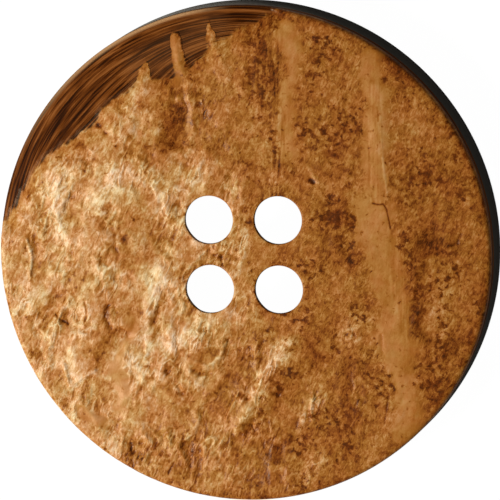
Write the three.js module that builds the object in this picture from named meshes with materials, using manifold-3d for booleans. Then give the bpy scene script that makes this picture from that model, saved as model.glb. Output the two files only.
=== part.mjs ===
// A round four-hole sew-on button of a layered natural material.
//
// From the back to the face it is a black turned disc, a thin brown fibrous layer, and a rough tan
// crust with a low crown. The crust stops short of the rim on one side along a ragged edge, and the
// fibrous layer comes up to the surface there and slopes down to the rim.
// Millimetres, +Z up through the face. The origin is on the axis, level with the flat ring of the back.
import * as THREE from "three";
import { mergeVertices } from "three/addons/utils/BufferGeometryUtils.js";
import Module from "manifold-3d";

const wasm = await Module();
wasm.setup();

// ---- Driving dimensions ----
const DIAMETER = 25.4; // 40 ligne
const RADIUS = DIAMETER / 2;
const EDGE_HEIGHT = 3.3; // back to the crust's shoulder
const CROWN = 0.3; // how far the middle stands above the shoulder
const BASE_THICKNESS = 2.4;
const FIBRE_THICKNESS = 0.42;
const BOND_GAP = 0.02; // between two layers
const BACK_ROUND = 0.25; // rounding of the back's edge
const WELL_DEPTH = 1.6; // of the well in the back, which takes the thread's knots
const WELL_MOUTH_RADIUS = 5.2;
const WELL_FLOOR_RADIUS = 4.4;
const SHOULDER_ROUND = 0.26; // rounding of the crust's edge

// ---- Thread holes ----
const HOLE_RADIUS = 1.23; // at the face
const FLARE_START = 3.35; // height below which they widen
const BACK_HOLE_RADIUS = 1.6; // at the floor of the well
const HOLE_SPACING = 3.56; // between centres, both ways
const OVERRUN = 1; // how far a cutter runs past what it cuts

// ---- Fineness ----
const TURN_SEGMENTS = 96;
const HOLE_SEGMENTS = 32;
const ROUND_STEPS = 4;
const FACE_RINGS = 10;

// ---- Heights worked out from those ----
const FIBRE_BOTTOM = BASE_THICKNESS + BOND_GAP;
const FIBRE_TOP = FIBRE_BOTTOM + FIBRE_THICKNESS;
const CRUST_BOTTOM = FIBRE_TOP + BOND_GAP;
const FACE_TOP = EDGE_HEIGHT + CROWN;

// Where the fibrous layer is bare it falls from BARE_TOP, at BARE_INNER_RADIUS, to BARE_RIM at the rim.
const BARE_TOP = EDGE_HEIGHT - 0.02;
const BARE_INNER_RADIUS = 0.72 * RADIUS;
const BARE_RIM = FIBRE_TOP + 0.06;

// The ragged edge of the crust, from the left rim round to the top rim. Its three spikes are
// veins of the crust that run on over the bare layer.
const CRUST_EDGE = [
  [-12.9, 1.2],
  [-11.6, 3.2],
  [-10.8, 4.8],
  [-9.2, 5.8],
  [-7.8, 6.9],
  [-7.5, 7.6],
  [-6.0, 8.5],
  [-5.0, 9.9],
  [-4.7, 9.2],
  [-3.65, 9.2],
  [-3.72, 11.4],
  [-3.34, 11.3],
  [-2.7, 9.7],
  [-2.0, 10.6],
  [-1.7, 12.0],
  [-1.3, 11.1],
  [0.0, 11.8],
  [1.7, 12.7],
];
const EDGE_CLEARANCE = 0.05; // between the crust's ragged edge and the bare layer

// Broad swells of the crust: where, how long and wide, which way it runs in degrees from +X, how high.
const SWELLS = [
  { x: -7.4, y: 1.0, length: 3.6, width: 1.7, turn: 75, height: 0.13 },
  { x: -8.0, y: -4.2, length: 2.6, width: 1.5, turn: 60, height: 0.11 },
  { x: -3.2, y: -5.4, length: 3.4, width: 1.1, turn: 40, height: 0.12 },
  { x: 1.4, y: -6.6, length: 3.8, width: 0.9, turn: 52, height: 0.1 },
  { x: -5.8, y: 4.8, length: 2.2, width: 1.4, turn: 20, height: 0.1 },
  { x: 7.0, y: 6.2, length: 3.4, width: 0.6, turn: 92, height: 0.09 },
  { x: 8.6, y: -3.6, length: 5.5, width: 1.2, turn: 84, height: 0.05 },
  { x: 9.6, y: 1.6, length: 2.4, width: 0.9, turn: 95, height: -0.07 },
  { x: -3.0, y: 6.2, length: 1.6, width: 0.7, turn: 80, height: -0.1 },
  { x: -1.4, y: -4.0, length: 1.4, width: 0.8, turn: 30, height: -0.1 },
];

// ---- Solids ----

// A closed three.js geometry as a manifold-3d solid.
function solidOf(geometry) {
  const bare = geometry.index ? geometry.toNonIndexed() : geometry.clone();
  bare.deleteAttribute("normal");
  bare.deleteAttribute("uv");
  const merged = mergeVertices(bare, 1e-4);
  const mesh = new wasm.Mesh({
    numProp: 3,
    vertProperties: merged.attributes.position.array,
    triVerts: new Uint32Array(merged.index.array),
  });
  return new wasm.Manifold(mesh);
}

// A manifold-3d solid as a three.js geometry.
function geometryOf(solid) {
  const { vertProperties, triVerts, numProp, numVert } = solid.getMesh();
  const positions = new Float32Array(numVert * 3);
  for (let i = 0; i < numVert; i++) {
    positions.set(vertProperties.subarray(i * numProp, i * numProp + 3), i * 3);
  }
  const geometry = new THREE.BufferGeometry();
  geometry.setAttribute("position", new THREE.BufferAttribute(positions, 3));
  geometry.setIndex(new THREE.BufferAttribute(triVerts, 1));
  geometry.computeVertexNormals();
  return geometry;
}

// A profile of [radius, height] points turned about the Z axis.
function turned(profile, segments = TURN_SEGMENTS) {
  const points = profile.map(([radius, height]) => new THREE.Vector2(radius, height));
  return new THREE.LatheGeometry(points, segments).rotateX(Math.PI / 2);
}

// Points of a quarter round about a centre, from one angle to another, in radians.
function quarterRound(centreRadius, centreHeight, round, from, to) {
  return Array.from({ length: ROUND_STEPS + 1 }, (_, i) => {
    const angle = from + ((to - from) * i) / ROUND_STEPS;
    return [centreRadius + round * Math.cos(angle), centreHeight + round * Math.sin(angle)];
  });
}

// One thread hole's cutter, standing on the axis: straight at the face, then flared to the well.
function holeCutter() {
  const profile = [
    [0, -OVERRUN],
    [BACK_HOLE_RADIUS, -OVERRUN],
    [BACK_HOLE_RADIUS, WELL_DEPTH],
    [HOLE_RADIUS, FLARE_START],
    [HOLE_RADIUS, FACE_TOP + OVERRUN],
    [0, FACE_TOP + OVERRUN],
  ];
  return solidOf(turned(profile, HOLE_SEGMENTS));
}

// The solid with the four thread holes cut through it.
function withThreadHoles(solid) {
  const cutter = holeCutter();
  let drilled = solid;
  for (const x of [-HOLE_SPACING / 2, HOLE_SPACING / 2]) {
    for (const y of [-HOLE_SPACING / 2, HOLE_SPACING / 2]) {
      drilled = drilled.subtract(cutter.translate([x, y, 0]));
    }
  }
  return drilled;
}

// The points of the crust's ragged edge, each moved away from the crust along its own normal.
function crustEdge(clearance) {
  return CRUST_EDGE.map(([x, y], i) => {
    const before = CRUST_EDGE[Math.max(i - 1, 0)];
    const after = CRUST_EDGE[Math.min(i + 1, CRUST_EDGE.length - 1)];
    const normal = new THREE.Vector2(before[1] - after[1], after[0] - before[0]).normalize();
    return new THREE.Vector2(x, y).addScaledVector(normal, clearance);
  });
}

// Everything past the crust's ragged edge, as an upright prism that stands off it by the clearance.
function pastCrustEdge(clearance) {
  const edge = crustEdge(clearance);
  const corner = new THREE.Vector2(-RADIUS - OVERRUN, RADIUS + OVERRUN);
  const shape = new THREE.Shape([
    ...edge,
    new THREE.Vector2(edge.at(-1).x, corner.y),
    corner,
    new THREE.Vector2(corner.x, edge[0].y),
  ]);
  const height = FACE_TOP + OVERRUN - FIBRE_BOTTOM;
  const prism = new THREE.ExtrudeGeometry(shape, { depth: height, bevelEnabled: false });
  return solidOf(prism.translate(0, 0, FIBRE_BOTTOM));
}

// ---- Layers ----

function baseDisc() {
  const profile = [
    [0, WELL_DEPTH],
    [WELL_FLOOR_RADIUS, WELL_DEPTH],
    [WELL_MOUTH_RADIUS, 0],
    ...quarterRound(RADIUS - BACK_ROUND, BACK_ROUND, BACK_ROUND, -Math.PI / 2, 0),
    [RADIUS, BASE_THICKNESS],
    [0, BASE_THICKNESS],
  ];
  return withThreadHoles(solidOf(turned(profile)));
}

function fibreLayer() {
  const sheet = solidOf(
    turned([
      [0, FIBRE_BOTTOM],
      [RADIUS, FIBRE_BOTTOM],
      [RADIUS, FIBRE_TOP],
      [0, FIBRE_TOP],
    ]),
  );
  const slope = solidOf(
    turned([
      [0, FIBRE_BOTTOM],
      [RADIUS, FIBRE_BOTTOM],
      [RADIUS, BARE_RIM],
      [BARE_INNER_RADIUS, BARE_TOP],
      [0, BARE_TOP],
    ]),
  );
  const bare = slope.intersect(pastCrustEdge(EDGE_CLEARANCE));
  return withThreadHoles(sheet.add(bare));
}

// How far the swells lift the crust at a place on the face. They die out towards the rim.
function swell(x, y) {
  let lift = 0;
  for (const s of SWELLS) {
    const turn = THREE.MathUtils.degToRad(s.turn);
    const along = ((x - s.x) * Math.cos(turn) + (y - s.y) * Math.sin(turn)) / s.length;
    const across = ((y - s.y) * Math.cos(turn) - (x - s.x) * Math.sin(turn)) / s.width;
    lift += s.height * Math.exp(-along * along - across * across);
  }
  const share = Math.hypot(x, y) / (RADIUS - SHOULDER_ROUND);
  return lift * Math.max(0, 1 - share ** 6);
}

function crustFace() {
  const shoulder = RADIUS - SHOULDER_ROUND;
  const rings = Array.from({ length: FACE_RINGS }, (_, i) => {
    const share = 1 - (i + 1) / FACE_RINGS;
    return [shoulder * share, EDGE_HEIGHT + CROWN * (1 - share * share)];
  });
  const geometry = turned([
    [0, CRUST_BOTTOM],
    [RADIUS, CRUST_BOTTOM],
    ...quarterRound(shoulder, EDGE_HEIGHT - SHOULDER_ROUND, SHOULDER_ROUND, 0, Math.PI / 2),
    ...rings,
  ]);
  const position = geometry.getAttribute("position");
  for (let i = 0; i < position.count; i++) {
    if (position.getZ(i) >= EDGE_HEIGHT) {
      position.setZ(i, position.getZ(i) + swell(position.getX(i), position.getY(i)));
    }
  }
  return withThreadHoles(solidOf(geometry).subtract(pastCrustEdge(0)));
}

// ---- Materials ----
const blackBase = new THREE.MeshStandardMaterial({ color: 0x23241f, roughness: 0.35, metalness: 0 });
const brownFibre = new THREE.MeshStandardMaterial({ color: 0x5c341c, roughness: 0.5, metalness: 0 });
const tanCrust = new THREE.MeshStandardMaterial({ color: 0xb57f48, roughness: 0.35, metalness: 0 });

// ---- The button ----
const button = new THREE.Group();

function addLayer(name, solid, material) {
  const mesh = new THREE.Mesh(geometryOf(solid), material);
  mesh.name = name;
  button.add(mesh);
}

addLayer("base_disc", baseDisc(), blackBase);
addLayer("fibre_layer", fibreLayer(), brownFibre);
addLayer("crust_face", crustFace(), tanCrust);

export default button;
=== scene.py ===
"""The looks of a layered four-hole sew-on button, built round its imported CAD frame.

Shapes are worked out in millimetres in the row frame and go into Blender in metres. The button is a
black turned disc, a thin brown layer that lies bare in a crescent at one side, and a rough tan crust.
"""

import math

import bpy
import numpy as np
from mathutils import Matrix, Vector
from mathutils.geometry import delaunay_2d_cdt


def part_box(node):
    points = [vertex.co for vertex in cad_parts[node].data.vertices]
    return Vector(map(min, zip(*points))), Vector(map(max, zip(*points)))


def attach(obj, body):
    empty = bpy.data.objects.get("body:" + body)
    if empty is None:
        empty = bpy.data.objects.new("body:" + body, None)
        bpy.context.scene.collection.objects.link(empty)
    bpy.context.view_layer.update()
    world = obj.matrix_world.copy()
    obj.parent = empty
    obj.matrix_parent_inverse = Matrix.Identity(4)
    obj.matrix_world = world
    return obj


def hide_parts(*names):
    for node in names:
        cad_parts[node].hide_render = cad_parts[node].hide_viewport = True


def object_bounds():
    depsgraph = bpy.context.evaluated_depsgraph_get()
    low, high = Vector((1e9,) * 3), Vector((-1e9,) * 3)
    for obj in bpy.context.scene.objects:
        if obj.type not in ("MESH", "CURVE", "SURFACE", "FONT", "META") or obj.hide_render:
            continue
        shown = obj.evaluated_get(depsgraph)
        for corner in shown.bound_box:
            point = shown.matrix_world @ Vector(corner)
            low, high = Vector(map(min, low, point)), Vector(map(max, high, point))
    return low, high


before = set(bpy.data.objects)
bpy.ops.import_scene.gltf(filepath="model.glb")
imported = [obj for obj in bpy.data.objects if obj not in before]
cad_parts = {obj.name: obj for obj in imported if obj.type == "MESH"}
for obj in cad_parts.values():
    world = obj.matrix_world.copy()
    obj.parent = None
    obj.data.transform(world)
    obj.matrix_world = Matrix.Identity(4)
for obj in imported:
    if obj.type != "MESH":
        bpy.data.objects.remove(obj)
cad_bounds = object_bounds()

MM = 0.001  # metres in a millimetre


def node_box(node):
    """A CAD node's lowest and highest corner in millimetres."""
    low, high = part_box(node)
    return np.array(low) / MM, np.array(high) / MM


# ---- Sizes, in millimetres ----
base_high = node_box("base_disc")[1]
fibre_low = node_box("fibre_layer")[0]
crust_low, crust_high = node_box("crust_face")

RADIUS = base_high[0]
BASE_TOP = base_high[2]
FIBRE_BOTTOM = fibre_low[2]
CRUST_BOTTOM = crust_low[2]
BOND_GAP = FIBRE_BOTTOM - BASE_TOP
FIBRE_TOP = CRUST_BOTTOM - BOND_GAP

# These are the sizes that part.mjs is driven by, which the frame doesn't give.
EDGE_HEIGHT = 3.3  # back to the crust's shoulder
CROWN = 0.3  # how far the middle stands above the shoulder
SHOULDER_ROUND = 0.26
BACK_ROUND = 0.25
WELL_DEPTH = 1.6
WELL_MOUTH_RADIUS = 5.2
WELL_FLOOR_RADIUS = 4.4

HOLE_RADIUS = 1.23  # at the face
FLARE_START = 3.35  # height below which the thread holes widen
BACK_HOLE_RADIUS = 1.6  # at the floor of the well
HOLE_SPACING = 3.56
HOLE_CENTRES = [
    (x, y)
    for x in (-HOLE_SPACING / 2, HOLE_SPACING / 2)
    for y in (-HOLE_SPACING / 2, HOLE_SPACING / 2)
]

# The bare brown slope falls from BARE_TOP, at BARE_INNER_RADIUS, to BARE_RIM at the rim.
BARE_TOP = EDGE_HEIGHT - 0.02
BARE_INNER_RADIUS = 0.72 * RADIUS
BARE_RIM = FIBRE_TOP + 0.06
BEND_START = 0.6  # how far in from the rim the slope's streaks start to leave the rim's curve
BEND_END = 2.8  # and where they run straight
STREAK_TURN = 45  # which way they run there, in degrees from +X
LAP = 0.35  # how far the bare slope runs on under the crust
LAP_FALL = 0.8  # and over what distance it then falls to the flat

FEATHER = 1.2  # how far in from its ragged edge the crust reaches its full thickness
LIP = 0.02  # thickness of the crust at its ragged edge
CEILING = crust_high[2] + 0.01  # which the crust's highest ridges level off towards
CEILING_SOFTNESS = 0.03
GRAIN_TURN = 64  # which way the crust's wrinkles run, in degrees from +X

# ---- Fineness of the meshes: lengths in millimetres, and counts round a circle ----
EDGE_STEP = 0.07  # between points of the crust's ragged edge
RIM_STEP = 0.075  # between points of its round edge
CRUST_PITCH = 0.088
FINE_PITCH = 0.045  # near the narrow marks
FINE_REACH = 0.24  # how near
NARROW = 0.14  # half-width of the widest of them
FIBRE_PITCH = 0.085  # on the bare slope
HIDDEN_PITCH = 0.5  # where the brown layer is covered
RIM_MARGIN = 0.4  # how far in from the rim the plain sheets' inner points start
WALL_RINGS = 40  # that the lathe left on the black disc's wall
BACK_RINGS = 60  # and on its flat ring
WELL_RINGS = 16  # and on the side of its well
BASE_SEGMENTS = 360
FIBRE_SEGMENTS = 1100
HOLE_SEGMENTS = 112
CRUST_HOLE_SEGMENTS = 128

# ---- Shapes and markings of the crust, in millimetres ----
# The ragged edge of the crust, from the left rim round to the top rim, with its three spikes.
CRUST_EDGE = [
    (-12.9, 1.2),
    (-11.6, 3.2),
    (-10.8, 4.8),
    (-9.2, 5.8),
    (-7.8, 6.9),
    (-7.5, 7.6),
    (-6.0, 8.5),
    (-5.0, 9.9),
    (-4.7, 9.2),
    (-3.65, 9.2),
    (-3.72, 11.4),
    (-3.34, 11.3),
    (-2.7, 9.7),
    (-2.0, 10.6),
    (-1.7, 12.0),
    (-1.3, 11.1),
    (0.0, 11.8),
    (1.7, 12.7),
]

# The middles of the three spikes.
SPIKES = [
    [(-5.0, 9.5), (-5.1, 9.0)],
    [(-3.52, 11.0), (-3.25, 9.6)],
    [(-1.68, 11.5), (-1.68, 11.2)],
]

# Broad swells of the crust: x, y, length, width, turn in degrees from +X, height.
SWELLS = [
    (-7.4, 1.0, 3.6, 1.7, 75, 0.13),
    (-8.0, -4.2, 2.6, 1.5, 60, 0.11),
    (-3.2, -5.4, 3.4, 1.1, 40, 0.12),
    (1.4, -6.6, 3.8, 0.9, 52, 0.1),
    (-5.8, 4.8, 2.2, 1.4, 20, 0.1),
    (7.0, 6.2, 3.4, 0.6, 92, 0.09),
    (8.6, -3.6, 5.5, 1.2, 84, 0.05),
    (9.6, 1.6, 2.4, 0.9, 95, -0.07),
    (-3.0, 6.2, 1.6, 0.7, 80, -0.1),
    (-1.4, -4.0, 1.4, 0.8, 30, -0.1),
]

# Tones are how bright the crust looks, from 0 to 1, painted light and shade included. It is palest left
# of the border, partly its own paler tan and partly painted light from the lamp at the left.
SMOOTH_TONE = 0.375
ROUGH_TONE = 0.515
PALE_BORDER = [(-6.2, 9.5), (-2.6, 5.2), (-0.6, 3.2), (0.2, 0), (-0.4, -4.4), (-2.6, -7.6), (-7.4, -10.6)]

# Patches of another tone: x, y, length, width, turn in degrees from +X, how much brighter. Most of the
# brighter ones are painted highlights, set where the lamp glints.
PATCHES = [
    (-3.3, 6.9, 1.3, 0.5, 82, -0.18),
    (-4.2, 5.4, 1.3, 0.8, 20, -0.16),
    (-1.6, 0.0, 1.0, 0.5, 0, -0.16),
    (1.4, 9.4, 2.2, 0.65, 90, -0.14),
    (5.4, 5.6, 1.8, 1.1, 70, -0.05),
    (4.7, 1.2, 1.8, 0.8, 75, -0.08),
    (5.5, -0.3, 0.8, 0.6, 20, -0.10),
    (9.0, -2.8, 2.0, 0.5, 86, -0.19),
    (9.6, 0.6, 1.6, 0.7, 80, -0.15),
    (9.6, 3.9, 1.6, 0.9, 30, -0.04),
    (5.4, -7.6, 2.5, 0.9, 84, -0.11),
    (3.6, -5.0, 1.0, 0.5, 80, -0.07),
    (-1.9, -5.2, 0.9, 0.6, 30, -0.13),
    (-0.9, -6.6, 1.1, 0.5, 55, -0.08),
    (-7.0, -3.2, 0.8, 0.4, 80, -0.11),
    (-4.55, -3.2, 0.6, 0.3, 65, -0.12),
    (-8.2, -8.8, 1.2, 0.7, 135, -0.06),
    (1.2, -10.4, 1.5, 0.9, 70, -0.09),
    (-5.2, 0.6, 1.3, 0.9, 60, -0.05),
    (-8.9, 1.2, 1.6, 0.35, 80, -0.07),
    (-3.0, -8.0, 2.0, 0.9, 30, -0.03),
    (10.4, -5.0, 0.8, 0.5, 60, -0.11),
    (9.9, -7.0, 1.2, 0.6, 55, -0.09),
    (7.7, 9.9, 1.3, 0.3, 142, -0.13),
    (0.0, 4.2, 1.6, 0.8, 100, -0.04),
    (-10.0, 3.1, 1.6, 0.6, 75, 0.10),
    (-9.7, 0.9, 1.7, 0.5, 85, 0.12),
    (-6.6, 3.6, 0.9, 0.7, 40, 0.13),
    (-6.5, -0.9, 0.6, 0.5, 40, 0.16),
    (-10.8, -1.6, 1.3, 0.7, 80, 0.05),
    (-4.7, -1.9, 1.4, 0.4, 68, 0.13),
    (-5.2, -4.5, 1.1, 0.5, 75, 0.12),
    (-4.4, -4.7, 0.9, 0.4, 20, 0.08),
    (-2.9, -4.2, 1.8, 0.7, 32, 0.10),
    (-10.1, -5.6, 0.4, 0.4, 0, 0.10),
    (1.0, -6.4, 2.8, 0.4, 58, 0.14),
    (-1.6, -9.5, 1.1, 0.7, 70, 0.12),
    (0.05, -9.1, 0.4, 0.25, 60, -0.16),
    (1.55, -6.9, 0.5, 0.25, 90, -0.14),
    (3.64, -4.9, 0.8, 0.3, 90, -0.10),
    (-6.3, -9.6, 0.8, 0.5, 60, 0.07),
    (-5.5, -9.4, 0.8, 0.6, 60, 0.09),
    (-2.3, -7.6, 0.9, 0.7, 30, 0.03),
    (-3.8, -7.4, 0.5, 0.25, 80, -0.12),
    (-7.2, -9.5, 0.6, 0.3, 90, 0.10),
    (1.0, 6.2, 1.5, 0.9, 110, 0.09),
    (-2.4, 4.2, 0.8, 0.5, 60, 0.12),
    (5.5, -3.9, 0.9, 0.6, 60, 0.10),
    (3.2, -7.6, 1.0, 0.35, 75, 0.12),
    (3.4, -11.0, 1.0, 0.5, 60, 0.11),
    (6.1, -10.6, 0.8, 0.3, 60, 0.08),
    (6.9, 5.4, 3.2, 0.5, 91, 0.02),
    (7.2, -5.0, 3.6, 0.8, 95, 0.05),
    (-1.0, 8.8, 1.8, 1.0, 100, 0.05),
    (-3.5, 10.2, 1.4, 0.35, 98, 0.06),
    (10.2, -2.8, 1.0, 0.4, 85, 0.05),
    (-8.7, 0.7, 0.6, 0.4, 80, 0.05),
    (-0.2, 0.6, 1.8, 0.6, 85, 0.08),
    (-3.2, -10.6, 1.0, 0.5, 60, -0.09),
    (0.6, -11.5, 0.8, 0.4, 30, -0.10),
    (2.2, -9.4, 0.8, 0.5, 60, -0.08),
    (0.2, 9.3, 0.9, 0.5, 90, -0.09),
    (-0.9, 10.7, 0.8, 0.5, 20, 0.06),
    (-9.25, -2.9, 0.5, 0.3, 0, 0.12),
    (-3.65, -2.9, 0.5, 0.3, 60, 0.12),
    (-7.8, 2.8, 0.7, 0.4, 60, 0.08),
    (-5.5, -0.3, 0.8, 0.45, 20, -0.10),
    (-6.95, 0.6, 0.5, 0.11, 85, -0.20),
    (-6.4, 0.85, 0.5, 0.11, 80, -0.18),
    (-6.68, 0.9, 0.45, 0.10, 82, 0.16),
    (-5.5, -0.95, 0.28, 0.16, 60, -0.16),
    (-9.05, -1.65, 0.3, 0.2, 0, -0.14),
    (5.5, 1.9, 0.5, 0.3, 60, -0.12),
    (5.4, -0.4, 0.35, 0.25, 70, -0.20),
    (6.6, 1.6, 1.0, 0.6, 90, 0.06),
    (10.9, -1.2, 1.2, 0.6, 80, 0.06),
    (9.9, -3.4, 1.2, 0.4, 85, 0.07),
    (8.7, 7.0, 1.2, 0.8, 60, 0.06),
    (8.2, -7.6, 2.0, 1.0, 60, 0.04),
    (-7.0, -7.4, 2.4, 1.6, 60, -0.03),
]

# Long bands of another tone: path, half-width, how much brighter.
BANDS = [
    ([(-5.5, -3.1), (-6.5, -4.1), (-7.5, -4.5), (-8.2, -6.6), (-8.4, -8.2)], 0.34, -0.15),
    ([(-6.8, -4.9), (-7.0, -7.9)], 0.30, 0.04),
    ([(-9.4, -5.9), (-9.1, -6.8), (-7.9, -6.1)], 0.32, 0.15),
    ([(-2.7, -6.1), (-2.0, -6.1), (-1.35, -5.4)], 0.13, 0.12),
    ([(2.3, 11.6), (2.4, 8.5), (2.3, 5.4)], 0.35, 0.05),
    ([(6.75, 8.6), (6.8, 6.0), (6.85, 3.0)], 0.32, 0.04),
    ([(-11.2, 0.8), (-11.25, -0.2), (-11.1, -1.0)], 0.24, -0.10),
    ([(9.9, -0.4), (10.3, -2.0), (10.1, -4.0)], 0.30, 0.07),
]

# Marks on the crust: path, half-width, lift, how much brighter. The darkness of the crack, grooves, pits
# and clefts is painted shade, and the brightness of the ridges and bright lines is painted highlight.
MARKS = [
    # the crack and the thin grooves above it, darkened with painted shade, and the bright lines of a step
    # and of a pit's rim, painted highlights
    (
        [(6.66, 2.68), (6.95, 2.62), (7.22, 2.64), (7.38, 2.38), (7.46, 1.95), (7.56, 1.4)],
        0.042,
        -0.01,
        -0.30,
    ),
    ([(6.5, 5.6), (6.52, 3.6), (6.7, 2.7)], 0.05, 0.0, -0.10),
    ([(7.12, 7.2), (7.2, 5.0)], 0.045, 0.006, 0.05),
    ([(7.2, 5.0), (7.36, 3.6), (7.42, 2.9)], 0.06, 0.010, 0.11),
    ([(6.95, 7.6), (7.0, 6.9)], 0.05, 0.0, -0.16),
    ([(3.3, 4.6), (3.6, 4.15), (3.85, 3.75)], 0.09, 0.015, 0.16),
    # grooves that run down to a thread hole, darkened with painted shade
    ([(1.95, 5.3), (1.85, 4.2), (1.7, 3.0)], 0.05, -0.004, -0.17),
    ([(1.72, 5.3), (1.62, 4.1), (1.5, 3.1)], 0.05, -0.004, -0.12),
    # pits, darkened with painted shade, and one raised spot lightened as a painted highlight
    ([(3.5, 3.84), (3.64, 3.74)], 0.12, -0.03, -0.45),
    ([(9.32, 3.72), (9.36, 3.68)], 0.09, -0.01, -0.24),
    ([(4.1, 8.24), (4.13, 8.2)], 0.07, -0.01, -0.22),
    ([(-7.5, 6.58), (-7.44, 6.52)], 0.11, -0.04, -0.40),
    ([(-7.14, 6.22), (-7.08, 6.18)], 0.09, -0.03, -0.28),
    ([(-3.3, 8.0), (-3.1, 7.7)], 0.14, 0.03, 0.08),
    # clefts of the rough side, darkened with painted shade
    ([(-7.1, -2.7), (-7.25, -3.2), (-7.0, -3.8)], 0.14, -0.07, -0.24),
    ([(-6.75, -2.75), (-6.7, -3.0)], 0.12, -0.04, -0.20),
    ([(-4.45, -2.7), (-4.55, -3.2), (-4.8, -3.6)], 0.13, -0.06, -0.24),
    ([(-2.75, -5.95), (-2.3, -6.2), (-1.9, -6.1)], 0.13, -0.06, -0.24),
    ([(-4.1, -5.75), (-4.1, -6.1)], 0.13, -0.05, -0.24),
    ([(-3.5, -6.8), (-3.35, -7.2)], 0.12, -0.07, -0.14),
    ([(-6.7, 0.35), (-6.6, 0.15)], 0.15, -0.05, -0.18),
    ([(-8.3, -2.5), (-8.2, -3.1), (-8.35, -3.6)], 0.06, -0.03, -0.26),
    ([(-9.85, -3.2), (-9.5, -3.5), (-9.2, -3.65)], 0.06, -0.03, -0.26),
    ([(1.5, -7.1), (1.65, -7.2)], 0.13, -0.05, -0.2),
    ([(0.3, -8.8), (0.34, -9.0)], 0.12, -0.07, -0.14),
    ([(-6.07, -9.84), (-6.05, -10.25)], 0.06, -0.02, -0.26),
    ([(-3.85, -10.8), (-4.15, -11.35)], 0.06, -0.02, -0.26),
    ([(7.34, -7.14), (7.09, -8.66)], 0.05, -0.01, -0.20),
    ([(7.0, -4.1), (7.02, -4.9)], 0.12, -0.03, -0.08),
    ([(11.15, 1.1), (10.95, 0.65), (10.75, 0.5)], 0.09, -0.03, -0.12),
    ([(-11.0, 0.8), (-10.75, 0.0), (-10.9, -0.95)], 0.24, -0.06, -0.10),
    # ridges, lightened with painted highlights, and a groove beside one, darkened with painted shade
    ([(-11.3, 0.7), (-11.05, -0.2), (-11.15, -1.2)], 0.08, 0.05, 0.14),
    ([(-4.24, -0.9), (-4.9, -2.2), (-5.05, -3.4)], 0.26, 0.09, 0.06),
    ([(2.35, -4.35), (1.2, -6.1), (-0.45, -8.9)], 0.22, 0.12, 0.08),
    ([(-0.48, -7.25), (-0.8, -7.9), (-1.08, -8.4)], 0.10, 0.06, 0.08),
    ([(-0.65, -7.35), (-0.98, -8.0), (-1.2, -8.5)], 0.07, -0.05, -0.14),
    ([(-9.46, -5.8), (-9.2, -6.9), (-8.6, -6.5), (-7.86, -6.05)], 0.12, 0.08, 0.10),
    ([(3.45, -7.3), (3.3, -8.0), (3.4, -8.5)], 0.10, 0.05, 0.08),
    ([(-2.75, -5.5), (-2.0, -5.75), (-1.3, -5.3), (-1.0, -4.5)], 0.10, 0.06, 0.12),
    ([(-2.7, -0.5), (-2.0, 0.2), (-1.5, 0.6)], 0.07, 0.04, 0.16),
]

# Places where the crust is curliest and glints most, with the strongest painted highlights on its crests:
# x, y, length, width, turn in degrees, how much.
CURLIEST = [
    (-6.0, 4.2, 1.2, 1.0, 30, 0.9),
    (-8.6, 4.6, 1.2, 0.7, 30, 0.8),
    (-9.8, 1.6, 2.2, 0.7, 84, 0.8),
    (-2.6, 4.3, 0.9, 0.6, 50, 0.9),
    (-4.7, -2.2, 1.6, 0.4, 70, 0.9),
    (-2.4, -4.1, 1.6, 0.9, 20, 0.8),
    (-5.3, -4.8, 1.2, 0.5, 75, 0.7),
    (-8.7, -6.6, 1.0, 0.6, 30, 0.6),
    (-0.3, 0.4, 2.4, 0.5, 85, 0.7),
    (1.0, -6.4, 2.8, 0.5, 58, 0.9),
    (-1.4, -9.5, 1.4, 1.0, 50, 0.8),
    (-5.6, -9.7, 1.6, 0.8, 40, 0.6),
    (3.2, -7.7, 1.0, 0.5, 75, 0.9),
    (5.5, -3.9, 0.9, 0.6, 60, 0.7),
    (3.4, -11.0, 1.0, 0.6, 60, 0.7),
    (5.9, -7.2, 1.6, 0.3, 85, 0.5),
    (-6.9, 0.0, 1.5, 1.2, 60, 0.4),
    (-5.6, 7.4, 1.0, 0.6, 20, 0.6),
]

# Places without curls on the rough side: x, y, length, width, turn in degrees.
CALM = [
    (-3.2, 7.2, 2.0, 1.0, 80),
    (-5.5, -0.3, 0.9, 0.6, 20),
    (-1.9, -5.2, 0.9, 0.5, 30),
    (-3.0, -7.8, 1.6, 0.8, 35),
]

# Places combed with fine streaks along Y: path, half-width, how much.
COMBED = [
    ([(6.85, 8.6), (6.85, 3.0)], 0.45, 0.5),
    ([(1.3, 11.2), (1.3, 7.4)], 0.8, 1.0),
    ([(1.9, 7.0), (1.75, 3.2)], 0.4, 1.0),
    ([(7.6, 1.4), (8.2, -4.0)], 0.5, 0.5),
]

# Smooth veins of the crust, which have no mottles or curls: path, half-width, how much.
VEINS = [
    ([(6.7, 2.3), (7.3, -0.6), (7.7, -3.8), (8.4, -8.9)], 0.75, 1.0),
    ([(2.4, 11.6), (2.5, 8.5), (2.5, 5.4)], 0.40, 1.0),
    ([(6.8, 10.4), (6.8, 6.5), (6.8, 2.8)], 0.40, 1.0),
    ([(-6.1, -3.4), (-6.5, -5.6), (-6.5, -7.9)], 0.26, 1.0),
    ([(-3.7, 11.0), (-3.3, 8.9)], 0.30, 1.0),
    ([(-8.6, -8.2), (-7.6, -8.6)], 0.3, 1.0),
]


# ---- Numbers ----
def smoothstep(low, high, value):
    """0 up to low and 1 from high on, with a smooth rise between. low may be the greater one."""
    t = np.clip((value - low) / (high - low), 0.0, 1.0)
    return t * t * (3 - 2 * t)


def mix(first, second, share):
    return first + (second - first) * share


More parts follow.
